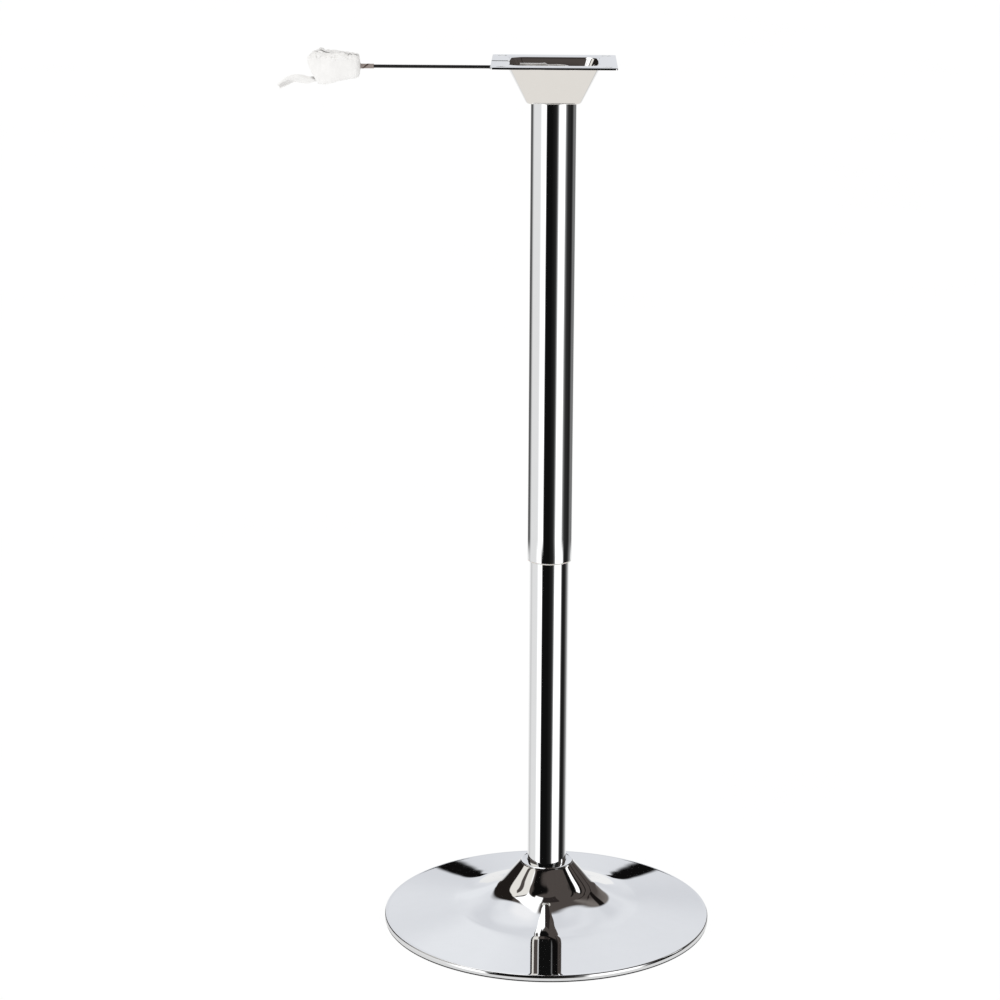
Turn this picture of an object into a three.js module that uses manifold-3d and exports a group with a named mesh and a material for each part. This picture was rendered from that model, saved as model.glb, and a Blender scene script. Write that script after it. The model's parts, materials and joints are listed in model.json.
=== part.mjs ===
// Height-adjustable table pedestal: a trumpet base with a fixed column, a gas lift and its
// telescoping sleeve, and a mounting plate with the release lever on top.
// Millimetres, +Z up. The origin is on the floor, on the axis of the column.

import * as THREE from 'three';
import { mergeVertices } from 'three/addons/utils/BufferGeometryUtils.js';
import Module from 'manifold-3d';

const wasm = await Module();
wasm.setup();

// ---------------------------------------------------------------- driving dimensions

const GAP = 0.3; // kept between two pieces that touch
const OVERSHOOT = 1; // how far a cutting tool runs past what it cuts
const TUBE_SIDES = 32;
const BASE_SIDES = 40;
const SMALL_SIDES = 16;
const CORNER_STEPS = 4;

const PLATE_TOP = 1116; // height of the mounting face when the lift is up
const STROKE = 350;

const COVER = { radius: 210.4, thickness: 1.6, lipRadius: 206.5, lipWidth: 1.5, lipTop: 4 };

const RIM = { radius: 211.2, bottom: 1.9, top: 7.8, edge: 0.9 };
const DISH = {
  thickness: 1.5,
  hole: 25.5,
  collarTop: 80.6,
  steps: 20,
  // radius and height, from the shoulder of the neck out to the rim
  outline: [
    [33.8, 79], [36.6, 75.5], [47.5, 62.5], [57, 51], [62, 46.2], [67, 42.9], [75, 38.6],
    [85, 33.7], [95, 29.5], [105, 25.8], [115, 22.9], [125, 20.7], [150, 17.1], [180, 13], [208.5, 9.2],
  ],
};

const BALLAST = { radius: 175, hole: 16, bottom: 1.9, top: 9 };
const BOLT = { count: 3, circle: 41, shank: 4, head: 7.4, headSides: 6, headHeight: 5.3, bottom: 2.2 };

const COLUMN = { radius: 25, wall: 2, top: 640 };
const SOCKET = { flangeRadius: 50, flangeThickness: 6, outerRadius: 30, top: 50 };
const PLUG = { bottom: 19, top: 25, hole: 5.4 };

const RACE = { inner: 5.4, outer: 13, thickness: 2 };
const BALL = { radius: 2, circle: 9.5, count: 8, across: 6, around: 4 };
const CAGE = { inner: 7.2, outer: 11.8, thickness: 1.4 };

const ROD = { radius: 5, bottom: 11, collar: 8, collarHeight: 3, tail: 3, tailHead: 4.5, tailHeadHeight: 2 };
const CLIP = { inner: 4.3, outer: 8.5, thickness: 1.5, opening: Math.PI / 3, grooveRadius: 4, grooveSlack: 0.2 };
const ROD_WASHER = { inner: 5.4, outer: 9.5, thickness: 2.4 };
const BUMPER = { inner: 5.4, outer: 14, waist: 11, clearance: 2.5 };

const CYLINDER = { radius: 14, wall: 1.8, bottom: 415, top: 1100, lip: 9, lipHeight: 2 };
const CONE = { bottom: 1066, topRadius: 13.2, chamfer: 1 };
const ROD_GUIDE = { inner: 5.35, outer: 11.9, height: 14 };
const ROD_SEAL = { inner: 5.35, outer: 11.9, height: 5, lip: 7.5, lipHeight: 2 };
const PISTON = { inner: 3.3, outer: 11.8, height: 8, grooveRadius: 9.7, grooveHeight: 3.4, clearance: 5 };
const PISTON_SEAL = { inner: 10, outer: 11.9, height: 2.8 };
const VALVE = { outer: 11.1, bore: 3.6, height: 25, topGap: 0.9 };
const BUTTON = { radius: 3.2, bottom: 1080, top: 1105.9, domeHeight: 0.8 };

const BUSH = { inner: 14.35, depth: 92, flangeHeight: 2.7 };

const SLEEVE = { radius: 28, wall: 1.2, bottom: 488 };
const GLIDE = { inner: 25.35, lipRadius: 27.7, lipHeight: 1.1, height: 21 };
const SLEEVE_CAP = { height: 14.7 };

const PLATE = { half: 76.3, corner: 3, thickness: 2.5 };
const SLOT = { offset: 64, length: 11, width: 6, corner: 2.9 };
const CUP = {
  bottom: 1067, wall: 2.1, floor: 2.5,
  topHalfX: 56.5, topHalfY: 53, topCorner: 18,
  bottomHalfX: 33, bottomHalfY: 31, bottomCorner: 9,
  mouthFlare: 0.3,
};
const COLLAR = { outer: 18, bottom: 1058, top: 1110.5, mouth: 14.6, notchWidth: 8.6, notchBottom: 1103.3 };
const LEVER_SLOT = { width: 8.4, bottom: 1103.6, reach: 40 };

const PIVOT = { x: -28.5, z: 1108.6, hole: 2.3 };
const BRACKET = { left: -36, right: -21, footLeft: -28.5, kneeHeight: 14, top: 1113, halfWidth: 7.3, ear: 2, web: 2 };
const PIN = { radius: 2, headRadius: 3.4, headHeight: 1.4, tail: 2.7, groove: 1.6, grooveWidth: 1 };
const PIN_CLIP = { inner: 1.75, outer: 3.6, thickness: 0.6 };

const ARM = {
  halfWidth: 3.8, left: -41.5, bottom: 1105, top: 1113.3, soleHeight: 1106.3, neckHeight: 1110.3,
  soleStart: -24, humpStart: -18, humpPeak: -11, humpEnd: -5, humpTop: 1113.8, tip: 3,
};
const LEVER_ROD = { radius: 2, socket: 2.3, socketDepth: 7, inner: -35, outer: -284 };
const KNOB = { radius: 11, inner: -241, outer: -291, chamfer: 2.5 };
const NECK = { inner: 2.3, outer: 2.9, start: -219.5, end: -236 };
const BAND = { inner: 3.2, outer: 3.9, start: -224, end: -235 };
const WRAP = {
  film: 1.2,
  mouth: 3.2,
  corner: 4,
  // distance along the lever, lowest and highest point, and half width of each section
  sections: [
    [236.5, 1096, 1121, 13], [241, 1094.5, 1126, 17], [283, 1086.5, 1124, 18],
    [292, 1086, 1122, 16], [305, 1107, 1119, 9],
  ],
};
const TAIL = {
  width: 8,
  thickness: 1.2,
  steps: 18,
  route: [
    [-300, 0, 1088.5], [-305, -1, 1092.5], [-312, -2, 1096],
    [-321, -3, 1097.5], [-330, -2, 1092], [-335.5, 0, 1083],
  ],
};

// ---------------------------------------------------------------- materials

const chrome = { color: 0xd9dbde, roughness: 0.06, metalness: 1 };
const bareSteel = { color: 0x9a9c9f, roughness: 0.4, metalness: 1 };
const castIron = { color: 0x3c3d3f, roughness: 0.75, metalness: 0.6 };
const blackSteel = { color: 0x141414, roughness: 0.35, metalness: 0.3 };
const blackPlastic = { color: 0x1b1b1c, roughness: 0.5, metalness: 0 };
const paleNylon = { color: 0xd8d6cf, roughness: 0.45, metalness: 0 };
const redNylon = { color: 0xa5231d, roughness: 0.4, metalness: 0 };
const blackRubber = { color: 0x202020, roughness: 0.85, metalness: 0 };
const brownRubber = { color: 0x6b4636, roughness: 0.6, metalness: 0 };
const whiteFoam = { color: 0xf3f3f2, roughness: 0.7, metalness: 0 };

// ---------------------------------------------------------------- shapes

// A surface of revolution about Z from [radius, height] pairs listed counter-clockwise.
function turned(profile, sides = SMALL_SIDES) {
  const touchesAxis = profile[0][0] === 0;
  const outline = touchesAxis ? profile : [...profile, profile[0]];
  const points = outline.map(([radius, height]) => new THREE.Vector2(radius, height));
  return new THREE.LatheGeometry(points, sides).rotateX(Math.PI / 2);
}

function tube(inner, outer, bottom, top, sides = SMALL_SIDES) {
  return turned([[inner, bottom], [outer, bottom], [outer, top], [inner, top]], sides);
}

function rod(radius, bottom, top, sides = SMALL_SIDES) {
  return turned([[0, bottom], [radius, bottom], [radius, top], [0, top]], sides);
}

function box(low, high) {
  const size = high.map((value, axis) => value - low[axis]);
  const centre = high.map((value, axis) => (value + low[axis]) / 2);
  return new THREE.BoxGeometry(...size).translate(...centre);
}

// Corner points of a rounded rectangle around [x, y], counter-clockwise.
function roundedRectangle([x, y], [halfX, halfY], corner) {
  const points = [];
  for (let quarter = 0; quarter < 4; quarter += 1) {
    const signX = quarter === 0 || quarter === 3 ? 1 : -1;
    const signY = quarter < 2 ? 1 : -1;
    for (let step = 0; step <= CORNER_STEPS; step += 1) {
      const angle = (quarter + step / CORNER_STEPS) * (Math.PI / 2);
      const across = x + signX * (halfX - corner) + corner * Math.cos(angle);
      const along = y + signY * (halfY - corner) + corner * Math.sin(angle);
      points.push(new THREE.Vector2(across, along));
    }
  }
  return points;
}

// A closed body through outlines with equal point counts, stacked along Z.
function loft(sections) {
  const count = sections[0].points.length;
  const vertices = sections.flatMap(({ points, z }) => points.flatMap((point) => [point.x, point.y, z]));
  const faces = [];
  for (let level = 0; level < sections.length - 1; level += 1) {
    for (let index = 0; index < count; index += 1) {
      const here = level * count + index;
      const next = level * count + ((index + 1) % count);
      faces.push(here, next, next + count, here, next + count, here + count);
    }
  }
  const last = (sections.length - 1) * count;
  for (let index = 1; index < count - 1; index += 1) {
    faces.push(0, index + 1, index);
    faces.push(last, last + index, last + index + 1);
  }
  const geometry = new THREE.BufferGeometry();
  geometry.setAttribute('position', new THREE.Float32BufferAttribute(vertices, 3));
  geometry.setIndex(faces);
  return geometry;
}

// A flat plate with its lower face at the given height.
function slab(outline, holes, bottom, thickness) {
  const shape = new THREE.Shape(outline);
  shape.holes = holes.map((hole) => new THREE.Path(hole));
  const geometry = new THREE.ExtrudeGeometry(shape, { depth: thickness, bevelEnabled: false });
  return geometry.translate(0, 0, bottom);
}

function circle(x, y, radius, sides = SMALL_SIDES) {
  const points = [];
  for (let index = 0; index < sides; index += 1) {
    const angle = (index / sides) * 2 * Math.PI;
    points.push(new THREE.Vector2(x + radius * Math.cos(angle), y + radius * Math.sin(angle)));
  }
  return points;
}

// A plate standing in the XZ plane, cut from [x, z] points and centred on y = 0.
function uprightSlab(outline, halfWidth) {
  const points = outline.map(([x, z]) => new THREE.Vector2(x, z));
  return slab(points, [], -halfWidth, 2 * halfWidth).rotateX(Math.PI / 2);
}

// An open ring, such as a snap clip, with its gap facing +X.
function splitRing({ inner, outer, thickness, opening }, bottom) {
  const shape = new THREE.Shape();
  shape.absarc(0, 0, outer, opening / 2, 2 * Math.PI - opening / 2, false);
  shape.absarc(0, 0, inner, 2 * Math.PI - opening / 2, opening / 2, true);
  const options = { depth: thickness, bevelEnabled: false, curveSegments: SMALL_SIDES };
  return new THREE.ExtrudeGeometry(shape, options).translate(0, 0, bottom);
}

function alongX(geometry) {
  return geometry.rotateY(Math.PI / 2);
}

function alongY(geometry) {
  return geometry.rotateX(-Math.PI / 2);
}

// ---------------------------------------------------------------- joining and cutting

function welded(geometry) {
  geometry.deleteAttribute('normal');
  geometry.deleteAttribute('uv');
  return mergeVertices(geometry);
}

function solid(geometry) {
  const merged = welded(geometry);
  const vertProperties = new Float32Array(merged.attributes.position.array);
  const triVerts = new Uint32Array(merged.index.array);
  return new wasm.Manifold(new wasm.Mesh({ numProp: 3, vertProperties, triVerts }));
}

function geometryOf(manifold) {
  const { vertProperties, triVerts } = manifold.getMesh();
  const geometry = new THREE.BufferGeometry();
  geometry.setAttribute('position', new THREE.Float32BufferAttribute(vertProperties, 3));
  geometry.setIndex(Array.from(triVerts));
  return geometry;
}

function cut(geometry, ...tools) {
  return geometryOf(tools.reduce((left, tool) => left.subtract(solid(tool)), solid(geometry)));
}

function joined(geometry, ...others) {
  return geometryOf(others.reduce((left, other) => left.add(solid(other)), solid(geometry)));
}

function piece(name, geometry, finish) {
  const mesh = new THREE.Mesh(welded(geometry), new THREE.MeshStandardMaterial(finish));
  mesh.name = name;
  return mesh;
}

// ---------------------------------------------------------------- base

const ballastSeat = BALLAST.top + GAP;

function floorCover() {
  const lipInner = COVER.lipRadius - COVER.lipWidth;
  const profile = [
    [0, 0], [COVER.radius, 0], [COVER.radius, COVER.thickness],
    [COVER.lipRadius, COVER.thickness], [COVER.lipRadius, COVER.lipTop],
    [lipInner, COVER.lipTop], [lipInner, COVER.thickness], [0, COVER.thickness],
  ];
  return piece('floor_cover', turned(profile, BASE_SIDES), blackPlastic);
}

// The upper face of the spun dish, from the rim in to the hole in its neck.
function dishFace() {
  const points = DISH.outline.map(([radius, height]) => new THREE.Vector2(radius, height));
  const bell = new THREE.SplineCurve(points).getSpacedPoints(DISH.steps).reverse();
  const inward = bell.map((point) => [point.x, point.y]);
  return [...inward, [DISH.outline[0][0] - DISH.thickness, DISH.collarTop], [DISH.hole, DISH.collarTop]];
}

// The under face follows the upper one at the sheet's thickness.
function underFace(face) {
  return face.map(([radius, height], index) => {
    const before = face[Math.max(index - 1, 0)];
    const after = face[Math.min(index + 1, face.length - 1)];
    const run = new THREE.Vector2(after[0] - before[0], after[1] - before[1]).normalize();
    return [Math.max(radius - DISH.thickness * run.y, DISH.hole), height + DISH.thickness * run.x];
  });
}

function baseDish() {
  const face = dishFace();
  const under = underFace(face).reverse();
  const lipInner = RIM.radius - DISH.thickness;
  const profile = [
    [lipInner, RIM.bottom], [RIM.radius - RIM.edge / 2, RIM.bottom],
    [RIM.radius, RIM.bottom + RIM.edge], [RIM.radius, RIM.top],
    [RIM.radius - RIM.edge, RIM.top + RIM.edge], ...face,
    ...under, [lipInner, RIM.top - DISH.thickness],
  ];
  return piece('base_dish', turned(profile, BASE_SIDES), chrome);
}

function boltCentres() {
  const centres = [];
  for (let index = 0; index < BOLT.count; index += 1) {
    const angle = Math.PI / 2 + (index / BOLT.count) * 2 * Math.PI;
    centres.push([BOLT.circle * Math.cos(angle), BOLT.circle * Math.sin(angle)]);
  }
  return centres;
}

function ballastPlate() {
  const holes = [circle(0, 0, BALLAST.hole), ...boltCentres().map(([x, y]) => circle(x, y, BOLT.shank + GAP))];
  const edge = circle(0, 0, BALLAST.radius, BASE_SIDES);
  return piece('ballast_plate', slab(edge, holes, BALLAST.bottom, BALLAST.top - BALLAST.bottom), castIron);
}

function columnSocket() {
  const flangeTop = ballastSeat + SOCKET.flangeThickness;
  const bore = COLUMN.radius + GAP;
  const body = turned([
    [bore, ballastSeat], [SOCKET.flangeRadius, ballastSeat], [SOCKET.flangeRadius, flangeTop],
    [SOCKET.outerRadius, flangeTop], [SOCKET.outerRadius, SOCKET.top], [bore, SOCKET.top],
  ], TUBE_SIDES);
  const holes = boltCentres().map(([x, y]) => {
    return rod(BOLT.shank + GAP, ballastSeat - OVERSHOOT, flangeTop + OVERSHOOT).translate(x, y, 0);
  });
  return piece('column_socket', cut(body, ...holes), bareSteel);
}

function socketBolts() {
  const headBottom = ballastSeat + SOCKET.flangeThickness + GAP;
  return boltCentres().map(([x, y], index) => {
    const shank = rod(BOLT.shank, BOLT.bottom, headBottom + OVERSHOOT);
    const head = rod(BOLT.head, headBottom, headBottom + BOLT.headHeight, BOLT.headSides);
    const bolt = piece(`socket_bolt_${index + 1}`, joined(shank, head), bareSteel);
    bolt.position.set(x, y, 0);
    return bolt;
  });
}

function columnTube() {
  const inner = COLUMN.radius - COLUMN.wall;
  return piece('column_tube', tube(inner, COLUMN.radius, ballastSeat, COLUMN.top, TUBE_SIDES), chrome);
}

function columnPlug() {
  const outer = COLUMN.radius - COLUMN.wall - GAP;
  return piece('column_plug', tube(PLUG.hole, outer, PLUG.bottom, PLUG.top), bareSteel);
}

const lowerRaceBottom = PLUG.top + GAP;
const ballCentre = lowerRaceBottom + RACE.thickness + GAP + BALL.radius;
const upperRaceBottom = ballCentre + BALL.radius + GAP;
const rodCollarBottom = upperRaceBottom + RACE.thickness + GAP;

function race(name, bottom) {
  return piece(name, tube(RACE.inner, RACE.outer, bottom, bottom + RACE.thickness), bareSteel);
}

function ballCage() {
  const half = CAGE.thickness / 2;
  const cage = tube(CAGE.inner, CAGE.outer, ballCentre - half, ballCentre + half);
  const balls = [];
  for (let index = 0; index < BALL.count; index += 1) {
    const angle = (index / BALL.count) * 2 * Math.PI;
    const ball = new THREE.SphereGeometry(BALL.radius, BALL.across, BALL.around);
    balls.push(ball.translate(BALL.circle * Math.cos(angle), BALL.circle * Math.sin(angle), ballCentre));
  }
  return piece('ball_cage', joined(cage, ...balls), bareSteel);
}

function guideBush() {
  const body = COLUMN.radius - COLUMN.wall - GAP;
  const flangeBottom = COLUMN.top + GAP;
  const top = flangeBottom + BUSH.flangeHeight;
  const profile = [
    [BUSH.inner, COLUMN.top - BUSH.depth], [body, COLUMN.top - BUSH.depth], [body, flangeBottom],
    [COLUMN.radius, flangeBottom], [COLUMN.radius, top], [BUSH.inner, top],
  ];
  return piece('guide_bush', turned(profile, TUBE_SIDES), paleNylon);
}

function base() {
  const group = new THREE.Group();
  group.add(floorCover(), baseDish(), ballastPlate(), columnSocket(), ...socketBolts());
  group.add(columnTube(), columnPlug(), race('lower_race', lowerRaceBottom), ballCage(), guideBush());
  return group;
}

// ---------------------------------------------------------------- piston rod, turns on the base

const washerTop = PLUG.bottom - GAP;
const clipTop = washerTop - ROD_WASHER.thickness - GAP;
const clipBottom = clipTop - CLIP.thickness;
const rodCollarTop = rodCollarBottom + ROD.collarHeight;
const guideBottom = CYLINDER.bottom + CYLINDER.lipHeight + GAP;
const sealBottom = guideBottom + ROD_GUIDE.height + GAP;
const pistonBottom = sealBottom + ROD_SEAL.height + PISTON.clearance;
const pistonTop = pistonBottom + PISTON.height;

function pistonRod() {
  const headBottom = pistonTop + GAP;
  const headTop = headBottom + ROD.tailHeadHeight;
  const profile = [
    [0, ROD.bottom], [ROD.radius, ROD.bottom],
    [ROD.radius, clipBottom - CLIP.grooveSlack], [CLIP.grooveRadius, clipBottom - CLIP.grooveSlack],
    [CLIP.grooveRadius, clipTop + CLIP.grooveSlack], [ROD.radius, clipTop + CLIP.grooveSlack],
    [ROD.radius, rodCollarBottom], [ROD.collar, rodCollarBottom],
    [ROD.collar, rodCollarTop], [ROD.radius, rodCollarTop],
    [ROD.radius, pistonBottom - GAP], [ROD.tail, pistonBottom - GAP],
    [ROD.tail, headBottom], [ROD.tailHead, headBottom], [ROD.tailHead, headTop], [0, headTop],
  ];
  return piece('piston_rod', turned(profile), chrome);
}

function bumpStop() {
  const bottom = rodCollarTop + GAP;
  const top = CYLINDER.bottom - STROKE - BUMPER.clearance;
  const middle = (bottom + top) / 2;
  const profile = [
    [BUMPER.inner, bottom], [BUMPER.outer, bottom], [BUMPER.waist, middle],
    [BUMPER.outer, top], [BUMPER.inner, top],
  ];
  return piece('bump_stop', turned(profile), blackRubber);
}

function piston() {
  const grooveBottom = pistonBottom + (PISTON.height - PISTON.grooveHeight) / 2;
  const grooveTop = grooveBottom + PISTON.grooveHeight;
  const profile = [
    [PISTON.inner, pistonBottom], [PISTON.outer, pistonBottom],
    [PISTON.outer, grooveBottom], [PISTON.grooveRadius, grooveBottom],
    [PISTON.grooveRadius, grooveTop], [PISTON.outer, grooveTop],
    [PISTON.outer, pistonTop], [PISTON.inner, pistonTop],
  ];
  return piece('piston', turned(profile), bareSteel);
}

function pistonSeal() {
  const middle = pistonBottom + PISTON.height / 2;
  const half = PISTON_SEAL.height / 2;
  const ring = tube(PISTON_SEAL.inner, PISTON_SEAL.outer, middle - half, middle + half);
  return piece('piston_seal', ring, blackRubber);
}

function swivel() {
  const group = new THREE.Group();
  const washerBottom = washerTop - ROD_WASHER.thickness;
  group.add(pistonRod());
  group.add(piece('rod_clip', splitRing(CLIP, clipBottom), blackSteel));
  group.add(piece('rod_washer', tube(ROD_WASHER.inner, ROD_WASHER.outer, washerBottom, washerTop), bareSteel));
  group.add(race('upper_race', upperRaceBottom), bumpStop(), piston(), pistonSeal());
  return group;
}

// ---------------------------------------------------------------- cylinder, sleeve and plate

const cylinderBore = CYLINDER.radius - CYLINDER.wall;
const coneBore = CONE.topRadius - CYLINDER.wall + GAP;
const cupTop = PLATE_TOP - PLATE.thickness;
const cupFloor = CUP.bottom + CUP.floor;

function gasCylinder() {
  const lipTop = CYLINDER.bottom + CYLINDER.lipHeight;
  const headBottom = CYLINDER.top - CYLINDER.lipHeight;
  const profile = [
    [CYLINDER.lip, CYLINDER.bottom], [CYLINDER.radius, CYLINDER.bottom],
    [CYLINDER.radius, CONE.bottom], [CONE.topRadius, headBottom],
    [CONE.topRadius - CONE.chamfer, CYLINDER.top], [CYLINDER.lip, CYLINDER.top],
    [CYLINDER.lip, headBottom], [coneBore, headBottom], [cylinderBore, CONE.bottom],
    [cylinderBore, lipTop], [CYLINDER.lip, lipTop],
  ];
  return piece('gas_cylinder', turned(profile, TUBE_SIDES), blackSteel);
}

function rodGuide() {
  const top = guideBottom + ROD_GUIDE.height;
  return piece('rod_guide', tube(ROD_GUIDE.inner, ROD_GUIDE.outer, guideBottom, top), bareSteel);
}

function rodSeal() {
  const top = sealBottom + ROD_SEAL.height;
  const profile = [
    [ROD_SEAL.inner, sealBottom], [ROD_SEAL.outer, sealBottom],
    [ROD_SEAL.outer, top - ROD_SEAL.lipHeight], [ROD_SEAL.lip, top - ROD_SEAL.lipHeight],
    [ROD_SEAL.lip, top], [ROD_SEAL.inner, top],
  ];
  return piece('rod_seal', turned(profile), blackRubber);
}

function valveHousing() {
  const top = CYLINDER.top - CYLINDER.lipHeight - VALVE.topGap;
  return piece('valve_housing', tube(VALVE.bore, VALVE.outer, top - VALVE.height, top), bareSteel);
}

function valveButton() {
  const shoulder = BUTTON.top - BUTTON.domeHeight;
  const profile = [
    [0, BUTTON.bottom], [BUTTON.radius, BUTTON.bottom], [BUTTON.radius, shoulder],
    [BUTTON.radius - BUTTON.domeHeight, BUTTON.top], [0, BUTTON.top],
  ];
  return piece('valve_button', turned(profile), redNylon);
}

function taperCollar() {
  const bore = CYLINDER.radius + GAP;
  const seat = CONE.topRadius + GAP;
  const body = turned([
    [bore, COLLAR.bottom], [COLLAR.outer, COLLAR.bottom], [COLLAR.outer, COLLAR.top],
    [COLLAR.mouth, COLLAR.top], [seat, CYLINDER.top], [seat, CYLINDER.top - CYLINDER.lipHeight],
    [bore, CONE.bottom],
  ], TUBE_SIDES);
  const half = COLLAR.notchWidth / 2;
  const notch = box([-COLLAR.outer - OVERSHOOT, -half, COLLAR.notchBottom], [0, half, COLLAR.top + OVERSHOOT]);
  return piece('taper_collar', cut(body, notch), bareSteel);
}

function cupSection(z, halfX, halfY, corner) {
  return { z, points: roundedRectangle([0, 0], [halfX, halfY], corner) };
}

function slotOutline(x, y) {
  const halves = [SLOT.length / 2, SLOT.width / 2];
  return roundedRectangle([x, y], halves, SLOT.corner);
}

// One pressing: a square flange, and a cup drawn down from it around the collar.
function mountingPlate() {
  const slots = [];
  for (const signX of [-1, 1]) {
    for (const signY of [-1, 1]) {
      slots.push(slotOutline(signX * SLOT.offset, signY * SLOT.offset));
    }
  }
  const edge = roundedRectangle([0, 0], [PLATE.half, PLATE.half], PLATE.corner);
  const flange = slab(edge, slots, cupTop, PLATE.thickness);
  const cup = loft([
    cupSection(CUP.bottom, CUP.bottomHalfX, CUP.bottomHalfY, CUP.bottomCorner),
    cupSection(cupTop + OVERSHOOT, CUP.topHalfX, CUP.topHalfY, CUP.topCorner),
  ]);
  const inside = loft([
    cupSection(cupFloor, CUP.bottomHalfX - CUP.wall, CUP.bottomHalfY - CUP.wall, CUP.bottomCorner - CUP.wall),
    cupSection(cupTop, CUP.topHalfX - CUP.wall, CUP.topHalfY - CUP.wall, CUP.topCorner - CUP.wall),
    cupSection(PLATE_TOP + OVERSHOOT, CUP.topHalfX + CUP.mouthFlare, CUP.topHalfY + CUP.mouthFlare, CUP.topCorner),
  ]);
  const hole = rod(COLLAR.outer + GAP, CUP.bottom - OVERSHOOT, cupFloor + OVERSHOOT, TUBE_SIDES);
  const half = LEVER_SLOT.width / 2;
  const leverSlot = box(
    [-PLATE.half - OVERSHOOT, -half, LEVER_SLOT.bottom],
    [-LEVER_SLOT.reach, half, PLATE_TOP + OVERSHOOT],
  );
  return piece('mounting_plate', cut(joined(flange, cup), inside, hole, leverSlot), chrome);
}

function sleeveTube() {
  const top = CUP.bottom - GAP;
  return piece('sleeve_tube', tube(SLEEVE.radius - SLEEVE.wall, SLEEVE.radius, SLEEVE.bottom, top, TUBE_SIDES), chrome);
}

function sleeveCap() {
  const top = CUP.bottom - GAP;
  const outer = SLEEVE.radius - SLEEVE.wall - GAP;
  return piece('sleeve_cap', tube(COLLAR.outer + GAP, outer, top - SLEEVE_CAP.height, top, TUBE_SIDES), blackPlastic);
}

function glideRing() {
  const lipTop = SLEEVE.bottom - GAP;
  const body = SLEEVE.radius - SLEEVE.wall - GAP;
  const profile = [
    [GLIDE.inner, lipTop - GLIDE.lipHeight], [GLIDE.lipRadius, lipTop - GLIDE.lipHeight],
    [GLIDE.lipRadius, lipTop], [body, lipTop],
    [body, lipTop + GLIDE.height], [GLIDE.inner, lipTop + GLIDE.height],
  ];
  return piece('sleeve_glide_ring', turned(profile, TUBE_SIDES), paleNylon);
}

function pivotBore(radius, halfLength) {
  return alongY(rod(radius, -halfLength, halfLength)).translate(PIVOT.x, 0, PIVOT.z);
}

function pivotBracket() {
  const foot = cupFloor + GAP;
  const side = uprightSlab([
    [BRACKET.footLeft, foot], [BRACKET.right, foot], [BRACKET.right, BRACKET.top],
    [BRACKET.left, BRACKET.top], [BRACKET.left, foot + BRACKET.kneeHeight],
  ], BRACKET.halfWidth);
  const inner = BRACKET.halfWidth - BRACKET.ear;
  const between = box(
    [BRACKET.left - OVERSHOOT, -inner, foot + BRACKET.web],
    [BRACKET.right + OVERSHOOT, inner, BRACKET.top + OVERSHOOT],
  );
  const bore = pivotBore(PIVOT.hole, BRACKET.halfWidth + OVERSHOOT);
  return piece('pivot_bracket', cut(side, between, bore), bareSteel);
}

const pinHeadInner = -BRACKET.halfWidth - GAP;
const pinGroove = BRACKET.halfWidth + GAP;

function pivotPin() {
  const profile = [
    [0, pinHeadInner - PIN.headHeight], [PIN.headRadius, pinHeadInner - PIN.headHeight],
    [PIN.headRadius, pinHeadInner], [PIN.radius, pinHeadInner],
    [PIN.radius, pinGroove], [PIN.groove, pinGroove],
    [PIN.groove, pinGroove + PIN.grooveWidth], [PIN.radius, pinGroove + PIN.grooveWidth],
    [PIN.radius, pinGroove + PIN.tail], [0, pinGroove + PIN.tail],
  ];
  const pin = piece('pivot_pin', alongY(turned(profile)), bareSteel);
  pin.position.set(PIVOT.x, 0, PIVOT.z);
  return pin;
}

function pivotClip() {
  const bottom = pinGroove + (PIN.grooveWidth - PIN_CLIP.thickness) / 2;
  const ring = splitRing({ ...PIN_CLIP, opening: CLIP.opening }, bottom);
  const clip = piece('pivot_clip', alongY(ring), blackSteel);
  clip.position.set(PIVOT.x, 0, PIVOT.z);
  return clip;
}

function lift() {
  const group = new THREE.Group();
  group.add(gasCylinder(), rodGuide(), rodSeal(), valveHousing());
  group.add(taperCollar(), mountingPlate(), sleeveTube(), sleeveCap(), glideRing());
  group.add(pivotBracket(), pivotPin(), pivotClip());
  return group;
}

// ---------------------------------------------------------------- release lever

function leverArm() {
  const side = uprightSlab([
    [ARM.left, ARM.bottom], [ARM.soleStart, ARM.bottom], [ARM.humpStart, ARM.soleHeight],
    [ARM.tip, ARM.soleHeight], [ARM.tip, ARM.neckHeight], [ARM.humpEnd, ARM.neckHeight],
    [ARM.humpPeak, ARM.humpTop], [ARM.humpStart, ARM.top], [ARM.left, ARM.top],
  ], ARM.halfWidth);
  const bore = pivotBore(PIVOT.hole, ARM.halfWidth + OVERSHOOT);
  const socket = alongX(rod(LEVER_ROD.socket, ARM.left - OVERSHOOT, ARM.left + LEVER_ROD.socketDepth));
  return piece('lever_arm', cut(side, bore, socket.translate(0, 0, PIVOT.z)), bareSteel);
}

function leverRod() {
  const bar = piece('lever_rod', alongX(rod(LEVER_ROD.radius, LEVER_ROD.outer, LEVER_ROD.inner)), blackSteel);
  bar.position.z = PIVOT.z;
  return bar;
}

function leverKnob() {
  const boreEnd = LEVER_ROD.outer - OVERSHOOT;
  const profile = [
    [0, KNOB.outer], [KNOB.radius - KNOB.chamfer, KNOB.outer], [KNOB.radius, KNOB.outer + KNOB.chamfer],
    [KNOB.radius, KNOB.inner - KNOB.chamfer], [KNOB.radius - KNOB.chamfer, KNOB.inner],
    [LEVER_ROD.socket, KNOB.inner], [LEVER_ROD.socket, boreEnd], [0, boreEnd],
  ];
  const knob = piece('lever_knob', alongX(turned(profile)), blackPlastic);
  knob.position.z = PIVOT.z;
  return knob;
}

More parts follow.
